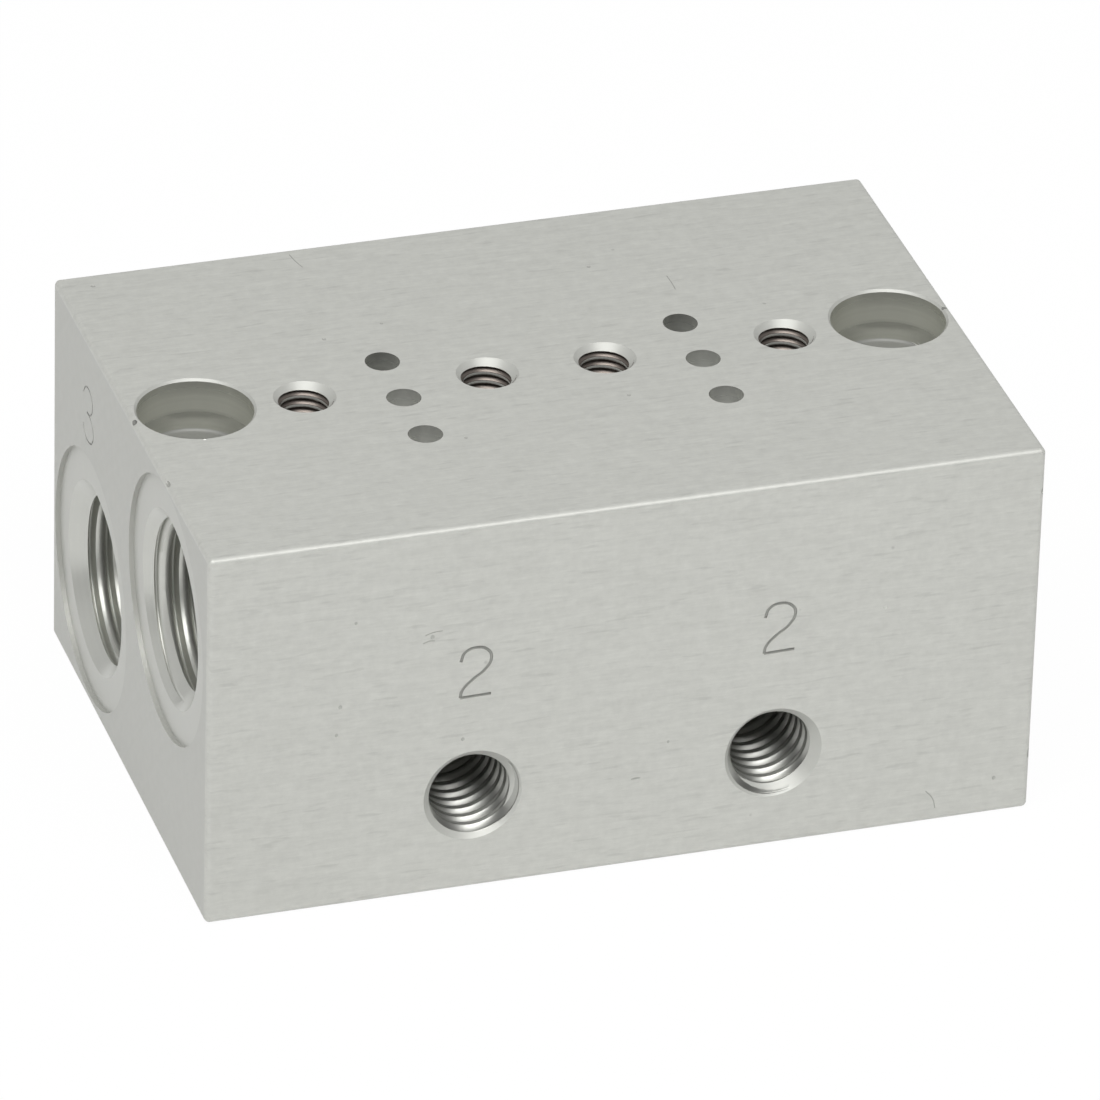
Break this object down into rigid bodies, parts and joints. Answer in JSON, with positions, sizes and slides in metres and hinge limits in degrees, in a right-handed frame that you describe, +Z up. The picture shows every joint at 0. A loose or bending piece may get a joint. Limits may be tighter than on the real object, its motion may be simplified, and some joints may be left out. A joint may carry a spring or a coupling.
{
  "type": "pneumatic manifold block",
  "caption": "Machined aluminium air manifold block: valve seats with screw holes and air passages on top, outlets on the front, galleries tapped at both ends.",
  "frame": {"origin": "centre of the flat underside", "axes": "+X along the block's length, +Y from the face with the outlets to the back, +Z up to the face that the valves sit on"},
  "size_m": [0.044, 0.0298, 0.0213],
  "materials": {
    "aluminium": "satin, fine brushed lines along the length, brighter in the threads"
  },
  "bodies": {
    "root": {"manifold_block": "aluminium"}
  },
  "joints": []
}
